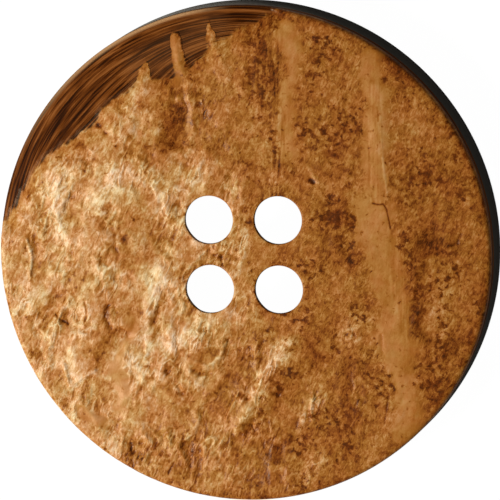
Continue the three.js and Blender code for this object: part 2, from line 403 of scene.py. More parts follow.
def noise(x, y, seed):
    """Smooth gradient noise, about -1 to 1, with features about 1 apart."""
    size = 256  # it repeats after this many features
    turn = np.random.default_rng(seed).uniform(0, 2 * np.pi, (size, size))
    column, row = np.floor(x).astype(int), np.floor(y).astype(int)
    right, up = x - column, y - row

    def corner(i, j):
        angle = turn[(column + i) % size, (row + j) % size]
        return np.cos(angle) * (right - i) + np.sin(angle) * (up - j)

    def fade(t):
        return t * t * t * (t * (t * 6 - 15) + 10)

    low = mix(corner(0, 0), corner(1, 0), fade(right))
    high = mix(corner(0, 1), corner(1, 1), fade(right))
    return 1.5 * mix(low, high, fade(up))


def layered(x, y, seed, octaves):
    """Noise with finer noise on top, each octave half the size and strength of the last."""
    shift = 7.3  # of each octave along x, so that no two line up
    total, strength, whole = 0.0, 1.0, 0.0
    for octave in range(octaves):
        scale = 2.0**octave
        total = total + strength * noise(x * scale + shift * octave, y * scale, seed + octave)
        whole += strength
        strength /= 2
    return total / whole


def ridges(x, y, seed):
    """0 to 1, with narrow rounded crests along winding lines."""
    steepness, rounding = 2.2, 0.05
    return 1 - np.minimum(1, steepness * np.hypot(noise(x, y, seed), rounding))


def turned_axes(x, y, degrees):
    """Distances along and across a direction."""
    turn = math.radians(degrees)
    return x * math.cos(turn) + y * math.sin(turn), y * math.cos(turn) - x * math.sin(turn)


def spot(x, y, centre_x, centre_y, length, width, turn):
    """1 at a centre, fading to 0 beyond a length and a width."""
    along, across = turned_axes(x - centre_x, y - centre_y, turn)
    return np.exp(-((along / length) ** 2) - (across / width) ** 2)


def path_distance(x, y, path):
    """Distance from each place to a line of straight stretches."""
    nearest = np.full(np.shape(x), np.inf)
    for (ax, ay), (bx, by) in zip(path[:-1], path[1:]):
        dx, dy = bx - ax, by - ay
        t = np.clip(((x - ax) * dx + (y - ay) * dy) / (dx * dx + dy * dy + 1e-12), 0, 1)
        nearest = np.minimum(nearest, np.hypot(x - ax - t * dx, y - ay - t * dy))
    return nearest


def stroke(x, y, path, half_width):
    """1 on a path, fading to 0 beyond its half-width."""
    return np.exp(-((path_distance(x, y, path) / half_width) ** 2))


def inside(x, y, outline):
    """True for each place inside a closed outline."""
    crossed = np.zeros(np.shape(x), bool)
    for (ax, ay), (bx, by) in zip(outline, np.roll(outline, -1, axis=0)):
        if ay != by:
            crossed ^= ((ay > y) != (by > y)) & (x < (bx - ax) * (y - ay) / (by - ay) + ax)
    return crossed


# ---- The crust's outline ----
def resampled(path, step):
    """Points of a path at an even spacing."""
    path = np.array(path, float)
    lengths = np.r_[0, np.cumsum(np.hypot(*np.diff(path, axis=0).T))]
    places = np.linspace(0, lengths[-1], int(lengths[-1] / step) + 1)
    return np.c_[np.interp(places, lengths, path[:, 0]), np.interp(places, lengths, path[:, 1])]


def ragged_edge():
    """The crust's ragged edge in fine detail, cut off at the rim."""
    path = resampled(CRUST_EDGE, EDGE_STEP)
    along = np.gradient(path, axis=0)
    normal = np.c_[-along[:, 1], along[:, 0]] / np.hypot(*along.T)[:, None]
    place = np.arange(len(path)) * EDGE_STEP
    coarse, fine = noise(place / 0.9, place * 0, 11), noise(place / 0.28, place * 0, 12)
    path = path + normal * (0.16 * coarse + 0.07 * fine)[:, None]
    within = np.flatnonzero(np.hypot(*path.T) < RADIUS - 0.06)
    path = path[within[0] : within[-1] + 1]
    ends = [point / np.hypot(*point) * RADIUS for point in (path[0], path[-1])]
    return np.array([ends[0], *path, ends[1]])


# The outline runs anticlockwise: round the rim from the ragged edge's left end, then back along it.
edge_path = ragged_edge()
left_angle = math.atan2(edge_path[0][1], edge_path[0][0])
top_angle = math.atan2(edge_path[-1][1], edge_path[-1][0])
rim_count = int((top_angle + 2 * math.pi - left_angle) * RADIUS / RIM_STEP)
rim_angles = np.linspace(left_angle, top_angle + 2 * math.pi, rim_count)
rim_arc = np.c_[np.cos(rim_angles), np.sin(rim_angles)] * RADIUS
crust_outline = np.array([*rim_arc, *edge_path[::-1][1:-1]])


def reach(x, y):
    """How far inside the crust's ragged edge a place is. Negative over the bare slope."""
    distance = path_distance(x, y, edge_path)
    return np.where(inside(x, y, crust_outline), distance, -distance)


# ---- Broad heights ----
def bare_slope(x, y):
    """The brown layer's bare surface."""
    share = (np.hypot(x, y) - BARE_INNER_RADIUS) / (RADIUS - BARE_INNER_RADIUS)
    return mix(BARE_TOP, BARE_RIM, np.clip(share, 0, 1))


def fibre_top(x, y, within):
    """The brown layer's surface: bare slope in the crescent, flat under the crust."""
    return mix(bare_slope(x, y), FIBRE_TOP, smoothstep(LAP, LAP + LAP_FALL, within))


def swell(x, y):
    """How far the swells lift the crust. They die out towards the rim."""
    lift = 0.0
    for *place, height in SWELLS:
        lift = lift + height * spot(x, y, *place)
    share = np.hypot(x, y) / (RADIUS - SHOULDER_ROUND)
    return lift * np.maximum(0, 1 - share**6)


def envelope(x, y):
    """The crust's face without its fine relief."""
    share = np.hypot(x, y) / (RADIUS - SHOULDER_ROUND)
    return EDGE_HEIGHT + CROWN * (1 - share**2) + swell(x, y)


# ---- The crust's fine relief and markings ----
# What x and y are divided by is the size of a noise's features, and the number after them is its seed.
def roughness_share(x, y):
    """1 on the rough half of the crust, 0 on the smooth half."""
    border = 0.4 - 0.15 * y + 1.2 * noise(x / 2.5, y / 2.5, 21)
    return smoothstep(1.6, -1.6, x - border)


def warped(x, y):
    """Places moved about a little, so that what is laid out straight winds."""
    wx = x + 0.5 * noise(x / 1.7, y / 1.7, 31) + 0.2 * noise(x / 0.6, y / 0.6, 32)
    wy = y + 0.5 * noise(x / 1.7, y / 1.7, 33) + 0.2 * noise(x / 0.6, y / 0.6, 34)
    return wx, wy


def band_share(x, y, bands, outer, inner):
    """How much a band has here, fading out between two multiples of its half-width."""
    share = np.zeros_like(x)
    for path, half_width, most in bands:
        distance = path_distance(x, y, path) / half_width
        share = np.maximum(share, most * smoothstep(outer, inner, distance))
    return share


def curliness(wx, wy, rough, patch, vein):
    """How curly the crust is, and how rough it still is once the calm places are smoothed."""
    curl = rough * (0.25 + 0.45 * patch)
    for *place, most in CURLIEST:
        curl = np.maximum(curl, most * spot(wx, wy, *place))
    for place in CALM:
        calm = spot(wx, wy, *place)
        curl = curl * (1 - 0.85 * calm)
        rough = rough * (1 - 0.6 * calm)
    return curl * (1 - 0.85 * vein), rough


def grain(x, y, wx, wy, rough, patch, curl):
    """The lift of the crust's wrinkles, from the broad ones to the finest, and of its streaks."""
    along, across = turned_axes(wx, wy, GRAIN_TURN)
    wrinkles = ridges(along / 3.0, across / 1.4, 35) - 0.5
    small = ridges(along / 1.0, across / 0.5, 36) - 0.5
    fine = layered(wx / 0.32, wy / 0.32, 37, 2)
    streaks = noise(x / 0.35, y / 4.0, 40) + 0.6 * noise(x / 0.16, y / 2.5, 41)
    lift = (0.02 + rough * (0.04 + 0.09 * patch)) * wrinkles
    lift = lift + (0.006 + 0.06 * curl) * small
    lift = lift + (0.003 + 0.020 * curl) * fine
    return lift + 0.003 * (1 - rough) * streaks


def broad_tone(x, wx, wy, rough, vein, curl, lift):
    """How bright the crust is without its marks: paler at the left, partly its own paler tan and partly
    painted light from the lamp there, and paler on its ridges and darker in its hollows, as painted light
    and shade.
    """
    along, across = turned_axes(wx, wy, GRAIN_TURN)
    border = path_distance(wx, wy, PALE_BORDER)
    left_of = inside(wx, wy, [*PALE_BORDER, (-16, -12), (-16, 12)])  # closed off the button
    pale = smoothstep(-1.5, 1.2, np.where(left_of, border, -border))
    # Palest at the left partly as painted light from the lamp there, and a little darker far to the right
    # as painted fall-off of that light.
    tone = mix(SMOOTH_TONE, ROUGH_TONE, pale) - 0.03 * smoothstep(5, 11, x)
    tone = tone + (0.05 + 0.09 * rough) * layered(along / 2.0, across / 1.1, 44, 3)
    tone = tone + (0.05 + 0.05 * curl) * layered(along / 0.9, across / 0.4, 46, 2)
    # Painted light and shade from the relief: paler where it is raised, darker where it is low.
    tone = tone + (0.5 + 0.5 * rough) * np.clip(lift, -0.10, 0.10) + 0.05 * vein * (1 - rough)
    # Patches and bands of another tone; most of the brighter patches are painted highlights.
    for *place, brighter in PATCHES:
        tone = tone + brighter * spot(wx, wy, *place)
    for path, half_width, brighter in BANDS:
        tone = tone + brighter * stroke(wx, wy, path, half_width)
    return tone


def relief(x, y):
    """The crust's fine relief in mm, and its markings by name: its tone, painted light and shade
    included, and shares from 0 to 1.
    """
    wx, wy = warped(x, y)
    vein = band_share(wx, y, VEINS, 1.5, 0.7)  # the veins stray along X alone
    patch = smoothstep(-0.35, 0.45, noise(x / 2.2, y / 2.2, 38))
    curl, rough = curliness(wx, wy, roughness_share(x, y), patch, vein)
    lift = grain(x, y, wx, wy, rough, patch, curl)
    tone = broad_tone(x, wx, wy, rough, vein, curl, lift)
    # Marks lift or sink the crust and change its tone: painted shade in the grooves, pits, clefts and
    # crack, painted highlights on the ridges.
    for path, half_width, height, brighter in MARKS:
        share = stroke(x, y, path, half_width)
        lift = lift + height * share
        tone = tone + brighter * share
    # Painted shade along the shoulder at the right, which turns away from the lamp, and a painted
    # highlight along it at the left.
    rim = smoothstep(RADIUS - 0.7, RADIUS - 0.1, np.hypot(x, y))
    tone = tone - 0.06 * rim * smoothstep(-7, 0, x) + 0.05 * rim * smoothstep(-3, -8, x)

    within = reach(x, y)
    tone = tone - 0.06 * smoothstep(1.2, 0.2, within)
    frayed = 1 - np.clip((within + 0.08 * noise(x / 0.3, y / 0.3, 49)) / 0.45, 0, 1)
    for path in SPIKES:
        distance = path_distance(x, y, path)
        frayed = frayed * smoothstep(0.1, 0.45, distance)
        tone = tone + 0.10 * smoothstep(0.4, 0.1, distance)
    mottled = (1 - vein) * smoothstep(-0.35, 0.5, layered(x / 1.8, y / 2.6, 47, 2))
    markings = {
        "tone": tone,
        "curl": curl * smoothstep(0.0, 0.8, within),
        "mottled": mottled * (1 - 0.8 * rough) * smoothstep(0.2, 1.0, within),
        "combed": band_share(x, y, COMBED, 1.4, 0.6),
        "frayed": frayed,
        "vein": vein,
    }
    return lift, markings


def crust_surface(x, y):
    """The crust's surface: it thins out to a lip over the bare slope at its ragged edge."""
    lift = relief(x, y)[0]
    fade = 1 - 0.75 * smoothstep(RADIUS - 1.2, RADIUS - 0.1, np.hypot(x, y))
    headroom = (CEILING - envelope(x, y) - lift * fade) / CEILING_SOFTNESS
    full = CEILING - CEILING_SOFTNESS * np.logaddexp(0, headroom)
    return mix(bare_slope(x, y) + LIP, full, smoothstep(0, FEATHER, reach(x, y)))


# ---- Meshes ----
def hole_radius(height):
    """A thread hole's radius at a height: straight at the face, then wider to the back."""
    share = np.clip((FLARE_START - height) / (FLARE_START - WELL_DEPTH), 0, 1)
    return mix(HOLE_RADIUS, BACK_HOLE_RADIUS, share)


def hole_ring(centre, radius, height, count):
    """One row of a hole's wall, clockwise. The height is one value, or one for each point."""
    angles = -np.linspace(0, 2 * np.pi, count, endpoint=False)
    x = centre[0] + radius * np.cos(angles)
    y = centre[1] + radius * np.sin(angles)
    return np.c_[x, y, np.full(count, height)]


def hole_walls(heights):
    """The walls of the four thread holes, from the first height to the last."""
    return [
        np.array([hole_ring(centre, hole_radius(h), h, HOLE_SEGMENTS) for h in heights])
        for centre in HOLE_CENTRES
    ]


def circle(radius, count):
    angles = np.linspace(0, 2 * np.pi, count, endpoint=False)
    return radius * np.cos(angles), radius * np.sin(angles)


def clear_of_holes(x, y, margin):
    clear = np.full(np.shape(x), True)
    for cx, cy in HOLE_CENTRES:
        clear &= np.hypot(x - cx, y - cy) > HOLE_RADIUS + margin
    return clear


def lattice(pitch, keep):
    """Points of a triangular lattice over the button, where keep(x, y) is true."""
    rows = np.arange(-RADIUS, RADIUS, pitch * math.sqrt(3) / 2)
    columns = np.arange(-RADIUS, RADIUS, pitch)
    x, y = np.meshgrid(columns, rows)
    x = x + (np.arange(len(rows)) % 2)[:, None] * pitch / 2
    x, y = x.ravel(), y.ravel()
    kept = keep(x, y)
    return np.c_[x[kept], y[kept]]


def round_lattice(pitch, radius, hole_margin):
    """Points of a lattice inside a radius, clear of the thread holes by a margin."""
    return lattice(pitch, lambda x, y: (np.hypot(x, y) < radius) & clear_of_holes(x, y, hole_margin))


def at_height(points, height):
    """Flat points given one height, or one for each point."""
    return np.c_[points, np.full(len(points), height)]


def sheet(loops, points, numbers):
    """Triangles over the area inside the first loop and outside the others.

    numbers are the mesh's vertex numbers of the loops' points and then of the inner points.
    """
    flat = np.concatenate([*loops, points])
    edges, start = [], 0
    for loop in loops:
        count = len(loop)
        edges += [(start + i, start + (i + 1) % count) for i in range(count)]
        start += count
    found = delaunay_2d_cdt([Vector(p) for p in flat], edges, [], 0, 1e-7)
    places = np.array([tuple(p) for p in found[0]])
    faces = np.array(found[2])
    assert len(places) == len(flat), "the sheet's outline crosses itself"
    middle = places[faces].mean(axis=1)
    kept = inside(middle[:, 0], middle[:, 1], loops[0])
    for loop in loops[1:]:
        kept &= ~inside(middle[:, 0], middle[:, 1], loop)
    return numbers[faces[kept]]


def closed_mesh(name, walls, top, bottom, material, markings=None):
    """One closed piece: walls from the top sheet's loops down to the bottom sheet's, and both sheets.

    Each wall is an array of rows of points, outer wall first and anticlockwise, the holes' clockwise.
    top and bottom are arrays of inner points. markings(x, y) gives the points' attributes by name.
    """
    points, quads, top_loops, bottom_loops, start = [], [], [], [], 0
    for wall in walls:
        rows, count, _ = wall.shape
        grid = start + np.arange(rows * count).reshape(rows, count)
        after = np.roll(grid, -1, axis=1)
        corners = [grid[1:], after[1:], after[:-1], grid[:-1]]
        quads.append(np.stack(corners, axis=-1).reshape(-1, 4))
        top_loops.append(grid[0])
        bottom_loops.append(grid[-1])
        points.append(wall.reshape(-1, 3))
        start += rows * count
    every = np.concatenate([*points, top, bottom])
    top_inner = start + np.arange(len(top))
    bottom_inner = start + len(top) + np.arange(len(bottom))
    top_numbers = np.concatenate([*top_loops, top_inner])
    bottom_numbers = np.concatenate([*bottom_loops, bottom_inner])
    upper = sheet([every[loop, :2] for loop in top_loops], top[:, :2], top_numbers)
    lower = sheet([every[loop, :2] for loop in bottom_loops], bottom[:, :2], bottom_numbers)
    faces = [*np.concatenate(quads).tolist(), *upper.tolist(), *lower[:, ::-1].tolist()]
    mesh = bpy.data.meshes.new(name)
    mesh.from_pydata((every * MM).tolist(), [], faces)
    mesh.update()
    mesh.shade_smooth()
    mesh.set_sharp_from_angle(angle=math.radians(50))
    if markings:
        for label, values in markings(every[:, 0], every[:, 1]).items():
            layer = mesh.attributes.new(label, "FLOAT", "POINT")
            layer.data.foreach_set("value", values.astype(np.float32))
    mesh.materials.append(material)
    piece = bpy.data.objects.new(name, mesh)
    bpy.context.scene.collection.objects.link(piece)
    return piece


# ---- Shader nodes ----
def add(tree, kind, inputs=(), **properties):
    """A new shader node. An input is a plain value or another node's output."""
    made = tree.nodes.new("ShaderNode" + kind)
    for name, value in properties.items():
        setattr(made, name, value)
    for name, value in dict(inputs).items():
        if isinstance(value, bpy.types.NodeSocket):
            tree.links.new(value, made.inputs[name])
        else:
            made.inputs[name].default_value = value
    return made


def colour(red, green, blue):
    return (red, green, blue, 1.0)


def blend(tree, share, first, second, kind="MIX"):
    """A mix of two colours."""
    made = add(tree, "Mix", {0: share, 6: first, 7: second}, data_type="RGBA", blend_type=kind)
    return made.outputs[2]


def scaled(tree, value, low, high, to_low=0.0, to_high=1.0):
    """A value from one range to another, with soft ends."""
    made = add(
        tree,
        "MapRange",
        {"Value": value, "From Min": low, "From Max": high, "To Min": to_low, "To Max": to_high},
        interpolation_type="SMOOTHSTEP",
    )
    return made.outputs["Result"]


def arithmetic(tree, operation, first, second, third=0.0):
    made = add(tree, "Math", {0: first, 1: second, 2: third}, operation=operation)
    return made.outputs[0]


def millimetres(tree, stretch=(1, 1, 1), degrees=0):
    """Object coordinates in millimetres, turned and then stretched for textures that run one way."""
    place = add(tree, "TexCoord").outputs["Object"]
    size = tuple(MM / s for s in stretch)
    turn = (0, 0, math.radians(degrees))
    inputs = {"Vector": place, "Scale": size, "Rotation": turn}
    return add(tree, "Mapping", inputs, vector_type="TEXTURE").outputs["Vector"]


def noise_texture(tree, place, scale, detail, rough=0.5, distortion=0.0, **more):
    """Noise with scale features in a unit of place. It is ridged where more inputs shape its ridges."""
    inputs = {"Vector": place, "Scale": scale, "Detail": detail, "Roughness": rough}
    inputs |= {"Distortion": distortion, **more}
    kind = "RIDGED_MULTIFRACTAL" if more else "FBM"
    return add(tree, "TexNoise", inputs, noise_type=kind).outputs[0]


def colour_ramp(tree, value, stops):
    """A value turned into a colour by (value, colour) stops."""
    made = add(tree, "ValToRGB", {"Fac": value})
    elements = made.color_ramp.elements
    while len(elements) < len(stops):
        elements.new(0.5)
    for element, (place, tint) in zip(elements, stops):
        element.position = place
        element.color = tint
    return made.outputs["Color"]


def attribute(tree, name):
    return add(tree, "Attribute", attribute_name=name).outputs["Fac"]


def new_material(name):
    material = bpy.data.materials.new(name)
    material.use_nodes = True
    tree = material.node_tree
    return material, tree, tree.nodes["Principled BSDF"]


def dress(tree, shader, tint, height, strength, depth, finish):
    """The shader's colour, its bump, of a depth in mm, and constant values on its own sockets."""
    bump = add(tree, "Bump", {"Strength": strength, "Distance": depth * MM, "Height": height})
    tree.links.new(tint, shader.inputs["Base Color"])
    tree.links.new(bump.outputs[0], shader.inputs["Normal"])
    for name, value in finish.items():
        shader.inputs[name].default_value = value
    return bump.outputs[0]


# ---- Materials ----
def fibre_tint(tree):
    """The brown layer's long parallel streaks, and how light they are.

    They run straight inside and follow the rim's curve near it. On the wall they lie level.
    """
    parts = add(tree, "SeparateXYZ", {0: millimetres(tree)}).outputs
    flat = add(tree, "CombineXYZ", {0: parts[0], 1: parts[1]}).outputs[0]
    radius = add(tree, "VectorMath", {0: flat}, operation="LENGTH").outputs["Value"]
    diagonal = math.sqrt(0.5)  # the sine and cosine of STREAK_TURN
    across = arithmetic(
        tree, "MULTIPLY", arithmetic(tree, "SUBTRACT", parts[1], parts[0]), diagonal
    )
    along = arithmetic(tree, "MULTIPLY", arithmetic(tree, "ADD", parts[1], parts[0]), diagonal)
    bend = scaled(tree, radius, RADIUS - BEND_END, RADIUS - BEND_START)
    outward = arithmetic(tree, "SUBTRACT", radius, across)
    across = arithmetic(tree, "MULTIPLY_ADD", outward, bend, across)
    on_wall = scaled(tree, radius, RADIUS - 0.08, RADIUS - 0.01, 0.0, 9.0)
    ribbon = {
        0: arithmetic(tree, "MULTIPLY", across, 6.5),  # streaks in a millimetre
        1: arithmetic(tree, "MULTIPLY", along, 0.28),  # and changes in a millimetre of a streak
        2: arithmetic(tree, "MULTIPLY", parts[2], on_wall),
    }
    place = add(tree, "CombineXYZ", ribbon).outputs[0]
    streak = noise_texture(tree, place, 1.0, 4.0, 0.6, 0.3)
    stops = [
        (0.38, colour(0.018, 0.004, 0.000)),
        (0.46, colour(0.065, 0.015, 0.001)),
        (0.54, colour(0.150, 0.042, 0.005)),
        (0.64, colour(0.270, 0.095, 0.022)),
    ]
    return colour_ramp(tree, streak, stops), streak


def crust_tone(tree):
    """How bright the crust is, and the height of its curls."""
    place = millimetres(tree)
    threads = millimetres(tree, (1.0, 0.12, 1.0))
    strokes = millimetres(tree, (0.42, 1.0, 1.0), GRAIN_TURN)

    # Painted highlights on the winding crests where it is curly, and painted shade between them, and fine
    # streaks, strongest where it is combed.
    curls = noise_texture(tree, strokes, 3.4, 2.0, 0.5, 0.7, Offset=0.9, Gain=1.4)
    painted_crest_light = scaled(tree, curls, 0.1, 1.2, -0.15, 0.20)
    painted_crest_light = arithmetic(tree, "MULTIPLY", painted_crest_light, attribute(tree, "curl"))
    tone = arithmetic(tree, "ADD", attribute(tree, "tone"), painted_crest_light)
    streak = scaled(tree, noise_texture(tree, threads, 5.0, 3.0), 0.25, 0.75, -0.12, 0.12)
    combed = scaled(tree, attribute(tree, "combed"), 0.0, 1.0, 0.12, 1.0)
    tone = arithmetic(tree, "MULTIPLY_ADD", streak, combed, tone)

    # A grain of clouds and hairs, fainter on the smooth veins.
    cloud = noise_texture(tree, place, 2.6, 5.0, 0.7, 0.3)
    hairs = noise_texture(tree, strokes, 6.5, 4.0, 0.7, 1.2)
    cloud = scaled(tree, cloud, 0.3, 0.7, -0.10, 0.10)
    hairs = scaled(tree, hairs, 0.3, 0.7, -0.12, 0.11)
    plain = scaled(tree, attribute(tree, "vein"), 0.0, 1.0, 1.0, 0.25)
    tone = arithmetic(tree, "MULTIPLY_ADD", arithmetic(tree, "ADD", cloud, hairs), plain, tone)

    # Dark mottles, denser where the crust is mottled and weaker where it is dark already.
    speckle = noise_texture(tree, place, 3.2, 4.0, 0.60, 0.25)
    dense = scaled(tree, attribute(tree, "mottled"), 0.0, 1.0, 0.0, 0.13)
    mottle = scaled(tree, arithmetic(tree, "ADD", speckle, dense), 0.58, 0.78)
    strength = scaled(tree, tone, 0.15, 0.42, 0.04, 0.30)
    mottle = arithmetic(tree, "MULTIPLY", mottle, strength)
    return arithmetic(tree, "SUBTRACT", tone, mottle), curls


def crust_tint(tree, tone):
    """The crust's colour for its tone, a little pinker in some places and greener in others."""
    # The palest stops are the cream of the painted highlights.
    stops = [
        (0.08, colour(0.050, 0.011, 0.001)),
        (0.20, colour(0.160, 0.037, 0.003)),
        (0.37, colour(0.350, 0.126, 0.018)),
        (0.47, colour(0.455, 0.203, 0.055)),
        (0.57, colour(0.550, 0.300, 0.120)),
        (0.75, colour(0.770, 0.560, 0.340)),
        (0.90, colour(0.870, 0.740, 0.550)),
    ]
    hue = scaled(tree, noise_texture(tree, millimetres(tree), 0.9, 3.0, 0.6), 0.35, 0.65)
    cast = blend(tree, hue, colour(1, 0.93, 0.97), colour(0.96, 1, 0.92))
    return blend(tree, 1.0, colour_ramp(tree, tone, stops), cast, "MULTIPLY")


def crust_material():
    material, tree, shader = new_material("tan_crust")
    tone, curls = crust_tone(tree)
    brown, streak = fibre_tint(tree)
    frayed = arithmetic(tree, "MULTIPLY", attribute(tree, "frayed"), 1.25)
    frayed = scaled(tree, arithmetic(tree, "SUBTRACT", frayed, streak), -0.05, 0.45)
    tint = blend(tree, frayed, crust_tint(tree, tone), brown)

    dust = noise_texture(tree, millimetres(tree), 9.0, 3.0, 0.6)
    curly = scaled(tree, attribute(tree, "curl"), 0.0, 1.0, 0.08, 1.3)
    height = arithmetic(tree, "MULTIPLY_ADD", dust, 0.3, arithmetic(tree, "MULTIPLY", curls, curly))
    finish = {
        "Roughness": 0.36,
        "Coat Weight": 0.08,
        "Coat Roughness": 0.28,
        "Specular IOR Level": 0.16,
        "Specular Tint": colour(1.0, 0.72, 0.45),
    }
    bump = dress(tree, shader, tint, height, 1.0, 0.022, finish)
    tree.links.new(bump, shader.inputs["Coat Normal"])
    return material


def fibre_material():
    material, tree, shader = new_material("brown_fibre")
    brown, streak = fibre_tint(tree)
    # A painted highlight, in a pale brown, along the bare slope's rim.
    tint = blend(tree, attribute(tree, "pale"), brown, colour(0.50, 0.29, 0.14))
    finish = {
        "Roughness": 0.5,
        "Coat Weight": 0.03,
        "Coat Roughness": 0.25,
        "Specular IOR Level": 0.02,
    }
    dress(tree, shader, tint, streak, 0.8, 0.03, finish)
    return material


def base_material():
    material, tree, shader = new_material("black_base")
    place = millimetres(tree)
    cloud = noise_texture(tree, place, 3.0, 4.0)
    tint = blend(tree, cloud, colour(0.009, 0.008, 0.005), colour(0.018, 0.016, 0.011))
    dust = noise_texture(tree, place, 12.0, 3.0)
    dress(tree, shader, tint, dust, 0.5, 0.004, {"Roughness": 0.3})
    return material


# ---- Pieces ----
def finish_piece(piece, node):
    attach(piece, "root")
    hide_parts(node)


def base_profile():
    """The disc's (radius, height) pairs from the top of its wall to the well's floor.

    Small random steps in and out make the fine rings that a lathe leaves.
    """
    random = np.random.default_rng(51)
    profile = [(RADIUS - 0.04, BASE_TOP), (RADIUS - 0.01, BASE_TOP - 0.01)]
    for height in np.linspace(BASE_TOP - 0.04, BACK_ROUND, WALL_RINGS):
        profile.append((RADIUS - random.uniform(0, 0.006), height))
    for angle in np.radians(np.linspace(-10, -90, 9)):
        radius = RADIUS - BACK_ROUND + BACK_ROUND * math.cos(angle)
        profile.append((radius, BACK_ROUND + BACK_ROUND * math.sin(angle)))
    for radius in np.linspace(RADIUS - BACK_ROUND - 0.1, WELL_MOUTH_RADIUS + 0.3, BACK_RINGS):
        profile.append((radius, random.uniform(0, 0.008)))
    profile += [(WELL_MOUTH_RADIUS + 0.12, 0.01), (WELL_MOUTH_RADIUS, 0.06)]
    for share in np.linspace(0.08, 0.94, WELL_RINGS):
        radius = mix(WELL_MOUTH_RADIUS, WELL_FLOOR_RADIUS, share)
        profile.append((radius, WELL_DEPTH * share + random.uniform(0, 0.01)))
    profile.append((WELL_FLOOR_RADIUS - 0.06, WELL_DEPTH - 0.03))
    profile.append((WELL_FLOOR_RADIUS - 0.16, WELL_DEPTH))
    return profile


def build_base():
    wall = []
    for radius, height in base_profile():
        wall.append(at_height(np.transpose(circle(radius, BASE_SEGMENTS)), height))
    heights = [BASE_TOP, BASE_TOP - 0.02, 2.2, 2.0, 1.8, WELL_DEPTH + 0.03, WELL_DEPTH]
    top = at_height(round_lattice(0.6, RADIUS - RIM_MARGIN, 0.5), BASE_TOP)
    bottom = at_height(round_lattice(0.3, WELL_FLOOR_RADIUS - 0.3, 0.5), WELL_DEPTH)
    walls = [np.array(wall), *hole_walls(heights)]
    piece = closed_mesh("turned_base", walls, top, bottom, base_material())
    finish_piece(piece, "base_disc")


def lamellae(x, y):
    """The long grooves of the bare slope: 0 at their floors and 1 between them."""
    along, across = turned_axes(x, y, STREAK_TURN)
    radius = np.hypot(x, y)
    bend = smoothstep(RADIUS - BEND_END, RADIUS - BEND_START, radius)
    across = mix(across, radius, bend)
    wander = 0.2 * noise(along / 3.0, across / 1.5, 61)
    return 0.5 + 0.5 * layered((across + wander) / 0.21, along / 6.0, 62, 2)


def painted_rim_highlight(x, y):
    """1 on a painted highlight along the bare slope's rim at the upper left, and a little between the
    crust's spikes.
    """
    azimuth = np.degrees(np.arctan2(y, x)) % 360
    share = smoothstep(92, 104, azimuth) * smoothstep(165, 118, azimuth)
    inset = RADIUS - np.hypot(x, y)
    rim = share * smoothstep(0.24, 0.08, inset) * smoothstep(0.0, 0.02, inset)
    spikes = path_distance(x, y, [(-5.2, 9.6), (-3.4, 10.5), (-1.6, 11.5)])
    return np.maximum(rim, 0.05 * smoothstep(1.4, 0.3, spikes))


def fibre_wall():
    """The brown layer's outer wall, from its top's softened edge down."""
    softening = 0.05
    x, y = circle(RADIUS, FIBRE_SEGMENTS)
    top = fibre_top(x, y, reach(x * 0.999, y * 0.999))
    rows = []
    for inset, drop in ((0.06, 0.0), (0.02, 0.015), (0.0, softening)):
        shrink = 1 - inset / RADIUS
        rows.append(np.c_[x * shrink, y * shrink, top - drop])
    for share in (0.3, 0.6, 0.9):
        rows.append(np.c_[x, y, mix(top - softening, FIBRE_BOTTOM, share)])
    rows.append(np.c_[x * 0.999, y * 0.999, np.full(FIBRE_SEGMENTS, FIBRE_BOTTOM)])
    return np.array(rows)


def fibre_points():
    """Inner points of the brown layer's top, fine and grooved on the bare slope."""
    past = 11.0  # the bare slope and its lap lie where y - x is greater

    def on_slope(x, y):
        return (np.hypot(x, y) < RADIUS - 0.1) & (y - x > past) & clear_of_holes(x, y, 0.1)

    def covered(x, y):
        return (np.hypot(x, y) < RADIUS - RIM_MARGIN) & (y - x < past) & clear_of_holes(x, y, 0.3)

    near = lattice(FIBRE_PITCH, on_slope)
    near = near[reach(*near.T) < LAP + 0.9]
    x, y = np.concatenate([near, lattice(HIDDEN_PITCH, covered)]).T
    within = reach(x, y)
    groove_depth = 0.04 * smoothstep(0.0, -0.4, within)
    return np.c_[x, y, fibre_top(x, y, within) - groove_depth * (1 - lamellae(x, y))]


def build_fibre():
    heights = [FIBRE_TOP, FIBRE_TOP - 0.03, 2.6, FIBRE_BOTTOM]
    piece = closed_mesh(
        "fibre_sheet",
        [fibre_wall(), *hole_walls(heights)],
        fibre_points(),
        at_height(round_lattice(1.0, RADIUS - RIM_MARGIN, 0.6), FIBRE_BOTTOM),
        fibre_material(),
        lambda x, y: {"pale": painted_rim_highlight(x, y)},
    )
    finish_piece(piece, "fibre_layer")


def crust_wall():
    """The crust's outer wall from its shoulder down, round at the rim and thin at the ragged edge."""
    direction = crust_outline[:rim_count] / RADIUS
    ragged = crust_outline[rim_count:]
    inset = crust_outline[:rim_count] * (1 - SHOULDER_ROUND / RADIUS)
    shoulder = crust_surface(*inset.T)
    size = np.minimum(SHOULDER_ROUND, 0.8 * np.maximum(shoulder - CRUST_BOTTOM, LIP))
    edge_top = bare_slope(*ragged.T) + LIP
    edge_bottom = edge_top - LIP + 0.003  # just clear of the bare slope
    rows = []

    def add_row(radius, height, edge_share):
        arc = np.c_[direction * radius, height]
        edge = np.c_[ragged, mix(edge_top, edge_bottom, edge_share)]
        rows.append(np.concatenate([arc, edge]))

    for angle in (90, 70, 50, 30, 12, 0):
        radius = RADIUS - size + size * math.cos(math.radians(angle))
        height = shoulder - size + size * math.sin(math.radians(angle))
        add_row(radius[:, None], height, (1 - angle / 90) * 0.8)
    for share in (0.5, 1.0):
        add_row(RADIUS, mix(shoulder - size, CRUST_BOTTOM, share), 0.8 + 0.2 * share)
    return np.array(rows)


